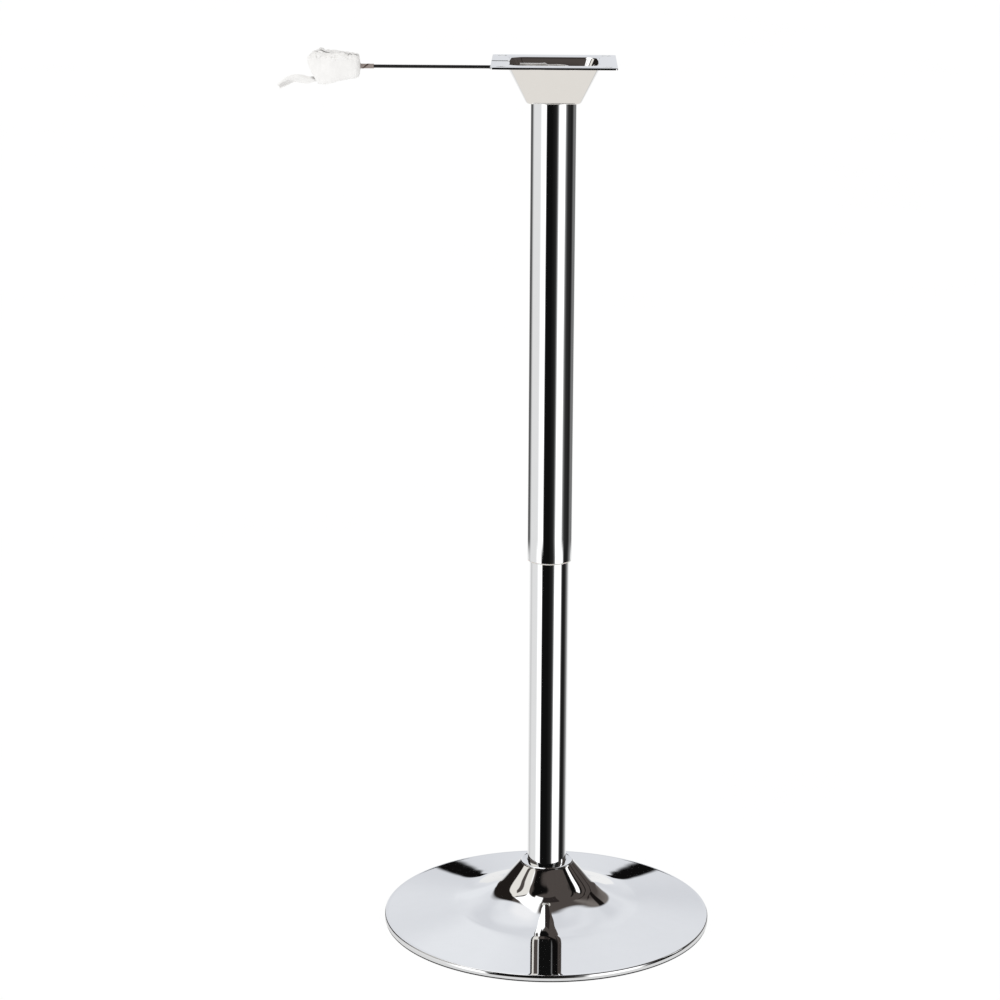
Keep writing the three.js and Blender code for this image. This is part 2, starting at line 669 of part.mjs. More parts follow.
// A section of the wrap, shrunk by the given margin, with its height along the outline's first axis.
function wrapSection([distance, low, high, halfWidth], margin) {
  const centre = [(low + high) / 2, 0];
  const halves = [(high - low) / 2 - margin, halfWidth - margin];
  return { z: distance, points: roundedRectangle(centre, halves, WRAP.corner - margin) };
}

// Foam sheet folded round the knob: a bag that is open where the rod goes in.
function knobWrap() {
  const outside = loft(WRAP.sections.map((section) => wrapSection(section, 0)));
  const inner = WRAP.sections.map((section) => wrapSection(section, WRAP.film));
  inner[0].z += WRAP.film;
  inner[inner.length - 1].z -= WRAP.film;
  const start = WRAP.sections[0][0];
  const mouth = rod(WRAP.mouth, start - OVERSHOOT, start + OVERSHOOT + WRAP.film).translate(PIVOT.z, 0, 0);
  const bag = cut(outside, loft(inner), mouth);
  return piece('knob_wrap', bag.rotateY(-Math.PI / 2), whiteFoam);
}

function aroundRod(name, { inner, outer, start, end }, finish) {
  const ring = piece(name, alongX(tube(inner, outer, end, start)), finish);
  ring.position.z = PIVOT.z;
  return ring;
}

function wrapTail() {
  const route = new THREE.CatmullRomCurve3(TAIL.route.map((point) => new THREE.Vector3(...point)));
  const halfWidth = TAIL.width / 2;
  const halfThickness = TAIL.thickness / 2;
  const section = new THREE.Shape([
    new THREE.Vector2(-halfThickness, -halfWidth), new THREE.Vector2(halfThickness, -halfWidth),
    new THREE.Vector2(halfThickness, halfWidth), new THREE.Vector2(-halfThickness, halfWidth),
  ]);
  const options = { steps: TAIL.steps, bevelEnabled: false, extrudePath: route };
  return piece('wrap_tail', new THREE.ExtrudeGeometry(section, options), whiteFoam);
}

function lever() {
  const group = new THREE.Group();
  group.add(leverArm(), leverRod(), leverKnob(), knobWrap(), wrapTail());
  group.add(aroundRod('wrap_neck', NECK, whiteFoam), aroundRod('rubber_band', BAND, brownRubber));
  return group;
}

// ---------------------------------------------------------------- the pedestal

const pedestal = new THREE.Group();
pedestal.add(base(), swivel(), lift(), valveButton(), lever());

export default pedestal;
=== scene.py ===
"""Looks of the height-adjustable table pedestal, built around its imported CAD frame."""

import json
import math

import bmesh
import bpy
import numpy as np
from mathutils import Matrix, Vector, noise

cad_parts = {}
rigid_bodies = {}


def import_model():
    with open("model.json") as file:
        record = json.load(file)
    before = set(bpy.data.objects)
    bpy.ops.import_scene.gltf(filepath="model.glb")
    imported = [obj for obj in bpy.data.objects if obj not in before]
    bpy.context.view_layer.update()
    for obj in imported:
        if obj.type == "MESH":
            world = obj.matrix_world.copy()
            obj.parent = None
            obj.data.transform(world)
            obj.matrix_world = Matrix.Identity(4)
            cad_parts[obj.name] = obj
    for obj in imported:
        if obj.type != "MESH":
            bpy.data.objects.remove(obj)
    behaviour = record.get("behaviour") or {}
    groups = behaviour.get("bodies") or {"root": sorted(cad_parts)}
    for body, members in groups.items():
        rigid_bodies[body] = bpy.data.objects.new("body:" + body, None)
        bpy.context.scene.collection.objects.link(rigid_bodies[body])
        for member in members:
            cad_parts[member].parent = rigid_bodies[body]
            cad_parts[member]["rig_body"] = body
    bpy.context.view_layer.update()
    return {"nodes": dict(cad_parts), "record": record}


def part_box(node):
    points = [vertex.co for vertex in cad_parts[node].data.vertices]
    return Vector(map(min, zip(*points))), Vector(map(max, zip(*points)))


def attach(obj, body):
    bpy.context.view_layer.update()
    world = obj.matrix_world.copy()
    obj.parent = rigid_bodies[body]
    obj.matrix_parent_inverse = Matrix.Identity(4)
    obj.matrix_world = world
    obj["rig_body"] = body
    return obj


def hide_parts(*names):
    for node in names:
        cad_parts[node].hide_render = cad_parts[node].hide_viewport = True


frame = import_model()
nodes = frame["nodes"]

MM = 0.001
FULL_TURN = 2 * math.pi
LARGE_ROUND = 256  # segments of a mirror-bright round piece
ROUND = 192  # segments of a large round piece
SMALL_ROUND = 48  # segments of a small round piece


# ---------------------------------------------------------------- camera

LENS = 104.39
CAMERA_PLACE = Vector((0, -3.546, 1.491))
CAMERA_DOWN = math.radians(14.648)
CAMERA_TURN = math.radians(1.021)
CAMERA_ROLL = math.radians(0.28)


def make_camera():
    ahead = Vector(
        (
            -math.sin(CAMERA_TURN) * math.cos(CAMERA_DOWN),
            math.cos(CAMERA_TURN) * math.cos(CAMERA_DOWN),
            -math.sin(CAMERA_DOWN),
        )
    )
    level = Vector((math.cos(CAMERA_TURN), math.sin(CAMERA_TURN), 0))
    above = level.cross(ahead)
    across = level * math.cos(CAMERA_ROLL) + above * math.sin(CAMERA_ROLL)
    upward = above * math.cos(CAMERA_ROLL) - level * math.sin(CAMERA_ROLL)
    camera = bpy.data.objects.new("camera", bpy.data.cameras.new("camera"))
    camera.data.lens = LENS
    camera.data.clip_end = 50
    turned_to = Matrix((across, upward, -ahead)).transposed().to_4x4()
    camera.matrix_world = Matrix.Translation(CAMERA_PLACE) @ turned_to
    bpy.context.scene.collection.objects.link(camera)
    bpy.context.scene.camera = camera


# ---------------------------------------------------------------- node trees


class Graph:
    """Short names for the nodes of one material or world."""

    def __init__(self, tree):
        self.tree = tree
        tree.nodes.clear()

    def node(self, kind, inputs=None, **settings):
        made = self.tree.nodes.new(kind)
        for name, value in settings.items():
            setattr(made, name, value)
        for name, value in (inputs or {}).items():
            if isinstance(value, bpy.types.NodeSocket):
                self.tree.links.new(value, made.inputs[name])
            else:
                made.inputs[name].default_value = value
        return made

    def math(self, operation, first, second=0.0):
        return self.node("ShaderNodeMath", {0: first, 1: second}, operation=operation).outputs[0]

    def span(self, value, low, high):
        """0 below low, 1 above high, and smooth in between."""
        made = self.node(
            "ShaderNodeMapRange",
            {"Value": value, "From Min": low, "From Max": high},
            interpolation_type="SMOOTHSTEP",
        )
        return made.outputs[0]

    def ramp(self, factor, stops):
        made = self.node("ShaderNodeValToRGB", {"Fac": factor})
        band = made.color_ramp
        for index, (place, colour) in enumerate(stops):
            if index < len(band.elements):
                element = band.elements[index]
                element.position = place
            else:
                element = band.elements.new(place)
            element.color = (*colour, 1)
        return made.outputs[0]

    def mix(self, factor, first, second):
        made = self.node("ShaderNodeMix", data_type="RGBA")
        for socket, value in ((0, factor), (6, first), (7, second)):
            if isinstance(value, bpy.types.NodeSocket):
                self.tree.links.new(value, made.inputs[socket])
            elif socket == 0:
                made.inputs[socket].default_value = value
            else:
                made.inputs[socket].default_value = (*value, 1)
        return made.outputs[2]


def shade(value):
    """The linear colour of an 8-bit display grey or colour."""
    values = value if isinstance(value, tuple) else (value,) * 3
    return tuple(
        v / 255 / 12.92 if v <= 10 else ((v / 255 + 0.055) / 1.055) ** 2.4
        for v in values
    )


# ---------------------------------------------------------------- studio

# Tones of the studio's panels, as 8-bit display greys or colours.
DEEP, DARK, DIM, DUSK, SHADOW, GREY, SOFT, LIGHT, PALE, BRIGHT = 16, 30, 46, 60, 84, 120, 158, 200, 226, 242
LIT = 255  # a panel with a light in it, which shows brighter than white
BLACK = (14, 13, 13)
WARM_BLACK = (22, 19, 18)
BROWN_BLACK = (32, 28, 26)
BROWN_GREY = (44, 39, 38)
CEILING = (76, 70, 67)
WARM_GREY = (118, 112, 108)
PAPER = (228, 224, 218)
IVORY = (231, 228, 222)
TENT_SHADE, TENT_CLOTH, TENT_GLOW = (214, 216, 221), (232, 234, 238), (243, 243, 245)
GLARE = (1.35, 1.35, 1.35)  # the linear colour of a lit panel

# The panels that the upright tubes mirror. They stand below the horizon, since the camera looks
# down. Each stop is an azimuth from the front in degrees, growing to the right, and a tone. The
# lower part of the studio shows on the column, the upper part on the sleeve.
UPPER_STRIPES = [
    (-180, BRIGHT), (-162, PALE), (-153, SHADOW), (-130, SHADOW), (-118, LIGHT), (-112, PALE),
    (-68, PALE), (-54, LIT), (-37, LIT), (-33, DARK), (-28, DEEP), (-5, DEEP), (10, DARK),
    (16, DIM), (20, DUSK), (26, SOFT), (32, LIT), (61, LIT), (67, SOFT), (74, SHADOW), (82, DIM),
    (108, DARK), (117, DUSK), (124, GREY), (156, GREY), (164, BRIGHT), (180, BRIGHT),
]
LOWER_STRIPES = [
    (-180, BRIGHT), (-150, BRIGHT), (-132, LIGHT), (-112, PALE), (-76, PALE), (-62, LIT),
    (-45, LIT), (-41, DARK), (-36, DEEP), (-5, DEEP), (12, DARK), (20, DIM), (27, GREY), (33, LIT),
    (70, LIT), (77, GREY), (82, DARK), (101, DARK), (111, DUSK), (121, GREY), (134, SOFT),
    (146, BRIGHT), (180, BRIGHT),
]
STRIPE_STEP = -15.6  # the rise at which the lower stripes give way to the upper ones
STRIPE_FOOT = (-30, -38)  # the rise over which the stripes give way to paper

# What the front wall shows above the horizon, as azimuth and tone, and the rise where it ends.
FRONT_WALL = [
    (-60, SOFT), (-58, PALE), (-54, PALE), (-51, DEEP), (37, DEEP), (41, GREY), (50, GREY),
    (54, DARK), (80, DIM),
]
WALL_TOP = (42.4, 43.2)
WALL_SPAN = (-62, 78)  # its azimuths: beyond them there is only the ceiling, and the panels

# Panels on the walls: azimuth from and to, rise from and to, softness of the edge, and tone.
WALL_PANELS = [
    (-156, -117, -1, 52, 1.5, BROWN_BLACK),
    (-116, -96, 22, 50, 1.5, IVORY),
    (-97, -60, 41.5, 50, 0.6, IVORY),
    (-97, -60, 22, 36.5, 0.6, IVORY),
    (84, 90, 0, 52, 1.0, WARM_BLACK),
    (97, 107, 0, 37, 0.8, LIT),
    (108, 113, 0, 40, 0.8, WARM_BLACK),
    (122, 125, 4, 58, 0.7, BROWN_BLACK),
    (138, 140, 4, 50, 0.7, BROWN_BLACK),
]

# Panels overhead, in degrees from the zenith: sideways (right is positive) from and to, forwards
# from and to, softness of the edge, and tone.
ROOF_PANELS = [
    (-9, 17, 3, 26.5, 0.6, BROWN_GREY),
    (-9, 17, 34, 46.8, 0.6, BROWN_GREY),
    (-36, -6, -17, 20, 1.5, LIT),
    (-20, -6, 18, 26, 1.5, LIT),
    (26, 30, -78, -16, 2.5, WARM_GREY),
    (22, 40, -50, -43, 1.0, WARM_BLACK),
]

# A dark ring around the zenith, in front: its azimuths, its inner edge from the zenith, how much
# further out that is per degree to the right, and its width.
RING_SPAN = (-52, 96)
RING_INSIDE, RING_LEAN, RING_WIDTH = 33.0, 0.33, 6

# The light tent behind the object, in degrees from the zenith: half its width, how far left of
# the middle it is, where its round end starts, and how long that end is.
TENT_HALF, TENT_LEFT, TENT_BACK, TENT_END = 28.5, 1.5, 60.0, 45.0
TENT_ROUNDING = 3.5  # 2 is an ellipse, and more is squarer
GLOW_SIDEWAYS, GLOW_FORWARDS = (-24, -6), (-26, -8)  # where its brightest patch lies

# Dark gaps far behind: angle from straight back, from and to, and rise from and to.
DARK_GAPS = [
    (4.35, 5.35, 5.0, 16.0),
    (3.4, 4.6, 9.0, 16.0),
]

# The soft light that falls on everything matt: from the left, from the right, and from above.
LEFT_LIGHT, RIGHT_LIGHT, TOP_LIGHT = (1.04, 1.03, 1.02), (0.70, 0.69, 0.68), (0.80, 0.79, 0.78)


def panel_colour(tone):
    return GLARE if tone == LIT else shade(tone)


def make_world():
    world = bpy.data.worlds.new("studio")
    world.use_nodes = True
    bpy.context.scene.world = world
    g = Graph(world.node_tree)
    towards = g.node("ShaderNodeTexCoord").outputs["Generated"]
    parts = g.node("ShaderNodeSeparateXYZ", {0: towards}).outputs
    ahead = g.math("MULTIPLY", parts["Y"], -1.0)
    azimuth = g.math("MULTIPLY", g.math("ARCTAN2", parts["X"], ahead), 180 / math.pi)
    rise = g.math("MULTIPLY", g.math("ARCSINE", parts["Z"]), 180 / math.pi)
    reach = g.math("SUBTRACT", 90.0, rise)
    turn = g.math("MULTIPLY", azimuth, math.pi / 180)
    sideways = g.math("MULTIPLY", reach, g.math("SINE", turn))
    forwards = g.math("MULTIPLY", reach, g.math("COSINE", turn))

    def between(value, low, high, soft):
        rises = g.span(value, low - soft, low + soft)
        falls = g.span(value, high + soft, high - soft)
        return g.math("MULTIPLY", rises, falls)

    def stripes(stops):
        place = g.math("ADD", g.math("DIVIDE", azimuth, 360.0), 0.5)
        return g.ramp(place, [((at + 180) / 360, panel_colour(tone)) for at, tone in stops])

    def hung(colour, across, along, panels):
        for left, right, near, far, soft, tone in panels:
            mask = g.math("MULTIPLY", between(across, left, right, soft), between(along, near, far, soft))
            colour = g.mix(mask, colour, panel_colour(tone))
        return colour

    lean = g.math("MULTIPLY", g.math("MAXIMUM", sideways, 0.0), RING_LEAN)
    past_ring = g.math("SUBTRACT", reach, g.math("ADD", lean, RING_INSIDE))
    ring = g.math("MULTIPLY", between(azimuth, *RING_SPAN, 3), between(past_ring, 0, RING_WIDTH, 1.2))

    wide = g.math("ABSOLUTE", g.math("DIVIDE", g.math("ADD", sideways, TENT_LEFT), TENT_HALF))
    deep = g.math("MAXIMUM", g.math("DIVIDE", g.math("ADD", forwards, TENT_BACK), TENT_END), 0.0)
    rounded = g.math("ADD", g.math("POWER", wide, TENT_ROUNDING), g.math("POWER", deep, TENT_ROUNDING))
    drift = g.node("ShaderNodeTexNoise", {"Vector": towards, "Scale": 2.6, "Detail": 1.0})
    tent = g.ramp(drift.outputs["Fac"], [(0.38, shade(TENT_SHADE)), (0.64, shade(TENT_CLOTH))])
    glow = g.math("MULTIPLY", between(sideways, *GLOW_SIDEWAYS, 5), between(forwards, *GLOW_FORWARDS, 5))
    tent = g.mix(glow, tent, shade(TENT_GLOW))

    colour = g.mix(g.span(rise, *WALL_TOP), stripes(FRONT_WALL), shade(CEILING))
    colour = g.mix(between(azimuth, *WALL_SPAN, 2), shade(CEILING), colour)
    colour = hung(colour, azimuth, rise, WALL_PANELS)
    colour = hung(colour, sideways, forwards, ROOF_PANELS)
    colour = g.mix(ring, colour, shade(BLACK))
    colour = g.mix(g.span(rounded, 1.12, 0.92), colour, tent)
    astern = g.math("SUBTRACT", 180.0, g.math("ABSOLUTE", azimuth))
    for near, far, bottom, top in DARK_GAPS:
        mask = g.math("MULTIPLY", between(astern, near, far, 0.15), between(rise, bottom, top, 0.3))
        colour = g.mix(mask, colour, shade(BLACK))

    on_sleeve = g.span(rise, STRIPE_STEP - 0.2, STRIPE_STEP + 0.2)
    tube = g.mix(on_sleeve, stripes(LOWER_STRIPES), stripes(UPPER_STRIPES))
    tube = g.mix(g.span(rise, *STRIPE_FOOT), tube, shade(PAPER))
    colour = g.mix(g.span(rise, -1.5, 0.5), tube, colour)

    # Mirrors see the panels, matt surfaces a soft light, and the camera plain white.
    path = g.node("ShaderNodeLightPath").outputs
    soft = g.mix(g.span(azimuth, -120, 120), LEFT_LIGHT, RIGHT_LIGHT)
    soft = g.mix(g.span(rise, 10, 80), soft, TOP_LIGHT)
    seen = g.mix(path["Is Glossy Ray"], soft, colour)
    seen = g.mix(path["Is Camera Ray"], seen, (1.0, 1.0, 1.0))
    background = g.node("ShaderNodeBackground", {"Color": seen, "Strength": 1.0})
    out = g.node("ShaderNodeOutputWorld")
    g.tree.links.new(background.outputs[0], out.inputs["Surface"])


def make_lamp(name, place, target, size, power):
    lamp = bpy.data.objects.new(name, bpy.data.lights.new(name, "AREA"))
    lamp.data.shape = "DISK"
    lamp.data.size = size
    lamp.data.energy = power
    lamp.location = place
    lamp.rotation_euler = (Vector(target) - Vector(place)).to_track_quat("-Z", "Y").to_euler()
    lamp.visible_glossy = False
    bpy.context.scene.collection.objects.link(lamp)


FLOOR_SIZE = 30
FLOOR_GLOW = 1.03
NEAR_FLOOR = 0.219  # radius of the floor that the rim mirrors
NEAR_GLOW = 0.72


def floor_look(name, glow):
    """Pale paper: lit evenly, with the faint shade that falls under the object."""
    material = bpy.data.materials.new(name)
    material.use_nodes = True
    g = Graph(material.node_tree)
    grain = g.node("ShaderNodeTexNoise", {"Scale": 40.0, "Detail": 3.0}).outputs["Fac"]
    tone = g.ramp(grain, [(0.3, (0.99, 0.99, 0.99)), (0.7, (1.0, 1.0, 1.0))])
    lit = g.node("ShaderNodeBsdfDiffuse", {"Color": (0.9, 0.9, 0.9, 1)}).outputs[0]
    shine = g.node("ShaderNodeEmission", {"Color": tone, "Strength": glow}).outputs[0]
    both = g.node("ShaderNodeMixShader", {0: 0.93, 1: lit, 2: shine}).outputs[0]
    out = g.node("ShaderNodeOutputMaterial")
    g.tree.links.new(both, out.inputs["Surface"])
    return material


def make_floor():
    """The floor that the camera sees, and under the base the one that the chrome mirrors."""
    wide = new_mesh("floor", *flat_square(FLOOR_SIZE))
    wide.location.z = -0.4 * MM
    wide.data.materials.append(floor_look("floor_paper", FLOOR_GLOW))
    wide.visible_glossy = False
    near = new_mesh("near_floor", *disc(NEAR_FLOOR))
    near.location.z = -0.2 * MM
    near.data.materials.append(floor_look("near_floor_paper", NEAR_GLOW))
    near.visible_camera = False


# ---------------------------------------------------------------- mesh makers


def new_mesh(name, points, faces):
    mesh = bpy.data.meshes.new(name)
    mesh.from_pydata([tuple(p) for p in points], [], faces)
    mesh.update()
    made = bpy.data.objects.new(name, mesh)
    bpy.context.scene.collection.objects.link(made)
    return made


def flat_square(side):
    half = side / 2
    return [(-half, -half, 0), (half, -half, 0), (half, half, 0), (-half, half, 0)], [(0, 1, 2, 3)]


def disc(radius):
    points = [
        (radius * math.cos(FULL_TURN * i / ROUND), radius * math.sin(FULL_TURN * i / ROUND), 0)
        for i in range(ROUND)
    ]
    return points, [tuple(range(ROUND))]


def smoothed(made, crease=35):
    made.data.shade_smooth()
    made.data.set_sharp_from_angle(angle=math.radians(crease))
    return made


def placed(made, node, looks, slot, also=()):
    """made stands for a CAD node: same body, its own look."""
    made.data.materials.clear()
    made.data.materials.append(looks[slot])
    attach(made, nodes[node]["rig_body"])
    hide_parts(node, *also)
    return made


def bend(start, corner, end, t):
    """The point at t on a curve from start to end that heads for corner."""
    return (1 - t) ** 2 * start + 2 * t * (1 - t) * corner + t * t * end


def filleted(outline, radius, steps=4):
    """A closed [r, z] outline with each corner rounded, and a point kept beyond each end of
    the rounding so that long walls stay straight."""
    out = []
    count = len(outline)
    for i, corner in enumerate(outline):
        here = Vector(corner)
        to_last = Vector(outline[i - 1]) - here
        to_next = Vector(outline[(i + 1) % count]) - here
        reach = min(radius, to_last.length * 0.45, to_next.length * 0.45)
        start = here + to_last.normalized() * reach
        end = here + to_next.normalized() * reach
        if to_last.length > 5 * reach:
            out.append(here + to_last.normalized() * reach * 2)
        out += [bend(start, here, end, k / steps) for k in range(steps + 1)]
        if to_next.length > 5 * reach:
            out.append(here + to_next.normalized() * reach * 2)
    return [tuple(p) for p in out]


def turned(name, outline, sides=ROUND):
    """A closed surface of revolution about Z from a closed [r, z] outline."""
    points, faces = [], []
    count = len(outline)
    for i in range(sides):
        angle = FULL_TURN * i / sides
        points += [(r * math.cos(angle), r * math.sin(angle), z) for r, z in outline]
    for i in range(sides):
        here, there = i * count, ((i + 1) % sides) * count
        for k in range(count):
            n = (k + 1) % count
            faces.append((here + k, there + k, there + n, here + n))
    made = new_mesh(name, points, faces)
    tidy(made)
    return smoothed(made)


def tidy(made):
    """Welds doubled points and turns every face outwards."""
    work = bmesh.new()
    work.from_mesh(made.data)
    bmesh.ops.remove_doubles(work, verts=work.verts, dist=1e-7)
    bmesh.ops.recalc_face_normals(work, faces=work.faces)
    work.to_mesh(made.data)
    work.free()


def rounded_square(half_x, half_y, corner, steps=12, along=10):
    """A rounded rectangle as evenly kept points, so that outlines of any size loft together."""

    def corner_point(quarter, t):
        angle = (quarter + t) * math.pi / 2
        side_x = (half_x - corner) * (1 if quarter in (0, 3) else -1)
        side_y = (half_y - corner) * (1 if quarter < 2 else -1)
        return Vector((side_x + corner * math.cos(angle), side_y + corner * math.sin(angle)))

    points = []
    for quarter in range(4):
        points += [corner_point(quarter, k / steps) for k in range(steps + 1)]
        last, target = points[-1], corner_point((quarter + 1) % 4, 0)
        points += [last.lerp(target, k / along) for k in range(1, along)]
    return points


def ring_loft(name, rings):
    """A closed ring-shaped body through (outline, z) rings, the last joined to the first."""
    points, faces = [], []
    count = len(rings[0][0])
    for outline, z in rings:
        points += [(p.x, p.y, z) for p in outline]
    for level in range(len(rings)):
        here, there = level * count, ((level + 1) % len(rings)) * count
        for k in range(count):
            n = (k + 1) % count
            faces.append((here + k, here + n, there + n, there + k))
    made = new_mesh(name, points, faces)
    tidy(made)
    return made


def tube_along(name, path, radius, sides):
    """A round bar with closed ends along a list of points."""
    points, faces = [], []
    across = Vector((0, 1, 0))
    for i, here in enumerate(path):
        ahead = (path[min(i + 1, len(path) - 1)] - path[max(i - 1, 0)]).normalized()
        across = (across - ahead * across.dot(ahead)).normalized()
        up = ahead.cross(across)
        for k in range(sides):
            angle = FULL_TURN * k / sides
            points.append(here + (across * math.cos(angle) + up * math.sin(angle)) * radius)
    for i in range(len(path) - 1):
        for k in range(sides):
            n = (k + 1) % sides
            here, there = i * sides, (i + 1) * sides
            faces.append((here + k, here + n, there + n, there + k))
    faces.append(tuple(range(sides)))
    faces.append(tuple(reversed(range((len(path) - 1) * sides, len(path) * sides))))
    made = new_mesh(name, points, faces)
    tidy(made)
    return smoothed(made)


def sheet_faces(rows, columns):
    """The faces of a sheet of rows by columns squares, whose points are stored row by row."""
    width = columns + 1
    faces = []
    for row in range(rows):
        for column in range(columns):
            a = row * width + column
            faces.append((a, a + 1, a + width + 1, a + width))
    return faces


def thickened(made, thickness, offset):
    """Gives a sheet its thickness: inwards at offset -1, and both ways at 0."""
    film = made.modifiers.new("film", "SOLIDIFY")
    film.thickness = thickness
    film.offset = offset
    bake(made)
    tidy(made)
    return smoothed(made, 60)


def cut_from(made, *tools):
    """Takes the tools' space out of made, and removes the tools."""
    for tool in tools:
        modifier = made.modifiers.new("cut", "BOOLEAN")
        modifier.operation = "DIFFERENCE"
        modifier.solver = "EXACT"
        modifier.object = tool
    bake(made)
    for tool in tools:
        bpy.data.objects.remove(tool)


def bake(made):
    """Applies the modifiers."""
    bpy.context.view_layer.update()
    done = made.evaluated_get(bpy.context.evaluated_depsgraph_get())
    mesh = bpy.data.meshes.new_from_object(done)
    made.modifiers.clear()
    made.data = mesh


def eased(node, width):
    """A copy of a CAD node with its sharp edges rounded."""
    source = nodes[node]
    made = bpy.data.objects.new(node + "_eased", source.data.copy())
    bpy.context.scene.collection.objects.link(made)
    made.data.materials.clear()
    work = bmesh.new()
    work.from_mesh(made.data)
    bmesh.ops.remove_doubles(work, verts=work.verts, dist=1e-6)
    bmesh.ops.dissolve_limit(
        work, angle_limit=math.radians(1), verts=work.verts, edges=work.edges
    )
    work.to_mesh(made.data)
    work.free()
    for name in [a.name for a in made.data.attributes if a.name.startswith("custom_normal")]:
        made.data.attributes.remove(made.data.attributes[name])
    bevel = made.modifiers.new("ease", "BEVEL")
    bevel.width = width
    bevel.segments = 3
    bevel.limit_method = "ANGLE"
    bevel.angle_limit = math.radians(30)
    bevel.use_clamp_overlap = True
    bake(made)
    return smoothed(made, 25)


# ---------------------------------------------------------------- materials


def surface(name, build, **sockets):
    """A Principled material: build(g, p) adds its texture, sockets are the same all over."""
    material = bpy.data.materials.new(name)
    material.use_nodes = True
    g = Graph(material.node_tree)
    p = g.node("ShaderNodeBsdfPrincipled")
    for socket, value in sockets.items():
        p.inputs[socket.replace("_", " ")].default_value = value
    build(g, p)
    out = g.node("ShaderNodeOutputMaterial")
    g.tree.links.new(p.outputs[0], out.inputs["Surface"])
    return material


def textured(g, p, colours, rough, scale, bump=None):
    """Colour, roughness and bump from one noise, in metres of the object."""
    place = g.node("ShaderNodeTexCoord").outputs["Object"]
    grain = g.node(
        "ShaderNodeTexNoise", {"Vector": place, "Scale": scale, "Detail": 6.0, "Roughness": 0.6}
    ).outputs["Fac"]
    tone = g.ramp(grain, [(0.3, colours[0]), (0.7, colours[1])])
    g.tree.links.new(tone, p.inputs["Base Color"])
    gloss = g.node(
        "ShaderNodeMapRange",
        {"Value": grain, "From Min": 0.3, "From Max": 0.7, "To Min": rough[0], "To Max": rough[1]},
    ).outputs[0]
    g.tree.links.new(gloss, p.inputs["Roughness"])
    if bump:
        relief = g.node(
            "ShaderNodeBump", {"Height": grain, "Strength": bump[0], "Distance": bump[1]}
        ).outputs[0]
        g.tree.links.new(relief, p.inputs["Normal"])
    return place


def chrome_look(name, tint, ripple):
    def build(g, p):
        place = textured(g, p, (tuple(c * 0.985 for c in tint), tint), (0.012, 0.035), 60.0)
        swell = g.node(
            "ShaderNodeTexNoise", {"Vector": place, "Scale": 9.0, "Detail": 1.0}
        ).outputs["Fac"]
        relief = g.node(
            "ShaderNodeBump", {"Height": swell, "Strength": ripple, "Distance": 0.001}
        ).outputs[0]
        g.tree.links.new(relief, p.inputs["Normal"])

    return surface(name, build, Metallic=1.0)


def plain_look(name, colours, rough, scale, bump, **sockets):
    def build(g, p):
        textured(g, p, colours, rough, scale, bump)

    return surface(name, build, **sockets)


NECK_THIN = (-0.2365, -0.2350)  # along X, where the wrap gives way to the neck, which is darker


def foam_look():
    """Thin expanded-foam sheet with cells about a millimetre across, with painted shade darkening its
    creases.
    """

    def build(g, p):
        place = g.node("ShaderNodeTexCoord").outputs["Object"]
        cells = g.node("ShaderNodeTexVoronoi", {"Vector": place, "Scale": 900.0}).outputs["Distance"]
        soft = g.node(
            "ShaderNodeTexNoise", {"Vector": place, "Scale": 60.0, "Detail": 5.0}
        ).outputs["Fac"]
        tone = g.ramp(soft, [(0.3, (0.90, 0.895, 0.885)), (0.7, (0.96, 0.955, 0.945))])
        # Painted shade: occlusion turns the foam's colour grey in its creases and folds.
        crease_shade = g.node("ShaderNodeAmbientOcclusion", {"Distance": 0.006}, samples=8).outputs["AO"]
        tone = g.mix(g.span(crease_shade, 0.95, 0.35), tone, (0.42, 0.415, 0.41))
        along = g.node("ShaderNodeSeparateXYZ", {0: place}).outputs["X"]
        tone = g.mix(g.span(along, NECK_THIN[0], NECK_THIN[1]), tone, (0.30, 0.255, 0.235))
        g.tree.links.new(tone, p.inputs["Base Color"])
        gloss = g.node(
            "ShaderNodeMapRange", {"Value": soft, "To Min": 0.42, "To Max": 0.62}
        ).outputs[0]
        g.tree.links.new(gloss, p.inputs["Roughness"])
        fine = g.node(
            "ShaderNodeBump", {"Height": cells, "Strength": 0.25, "Distance": 0.0003}
        ).outputs[0]
        broad = g.node(
            "ShaderNodeBump", {"Height": soft, "Strength": 0.3, "Distance": 0.002, "Normal": fine}
        ).outputs[0]
        g.tree.links.new(broad, p.inputs["Normal"])

    return surface("foam_sheet", build, Specular_IOR_Level=0.3, Sheen_Weight=0.05)


